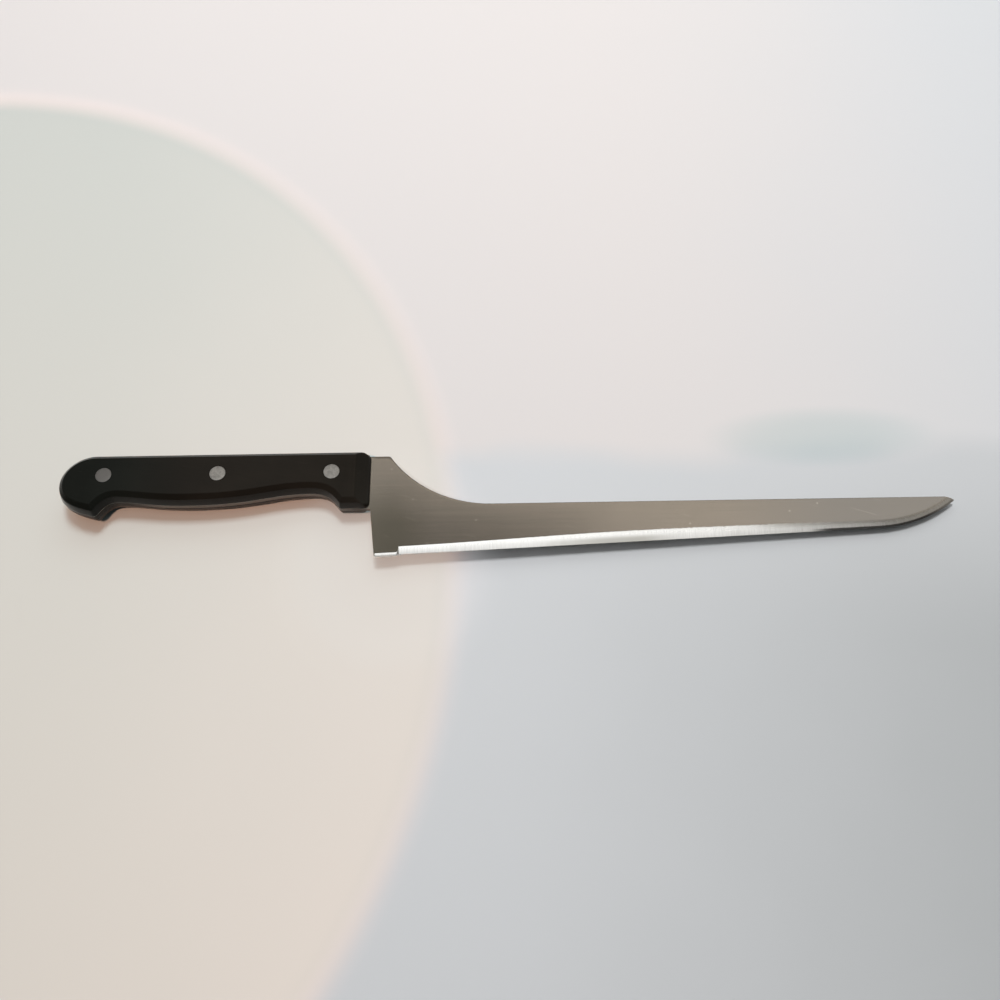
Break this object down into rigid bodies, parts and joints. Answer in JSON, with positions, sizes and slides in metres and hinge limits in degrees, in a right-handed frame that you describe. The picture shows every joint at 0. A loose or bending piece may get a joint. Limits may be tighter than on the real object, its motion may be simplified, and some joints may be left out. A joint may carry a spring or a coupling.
{
  "type": "fillet knife",
  "caption": "Long narrow fillet knife with a stepped heel, a full tang and two riveted black handle scales, lying on its side.",
  "frame": {"origin": "middle of the knife's length and depth, on the plane of the left scale's flat side, where the knife lies on its side", "axes": "+X towards the tip, +Y towards the spine, +Z out of the right scale's flat side"},
  "size_m": [0.3502, 0.0438, 0.013],
  "materials": {
    "blade_steel": "satin flats with fine lengthwise lines, a bright cross-ground edge bevel",
    "scale_plastic": "black moulded plastic, satin, slightly worn",
    "rivet_metal": "matt, ground flush, dulled by use"
  },
  "bodies": {
    "root": {"blade": "blade_steel", "right_scale": "scale_plastic", "left_scale": "scale_plastic", "front_rivet_post": "rivet_metal", "front_rivet_sleeve": "rivet_metal", "middle_rivet_post": "rivet_metal", "middle_rivet_sleeve": "rivet_metal", "rear_rivet_post": "rivet_metal", "rear_rivet_sleeve": "rivet_metal"}
  },
  "joints": []
}
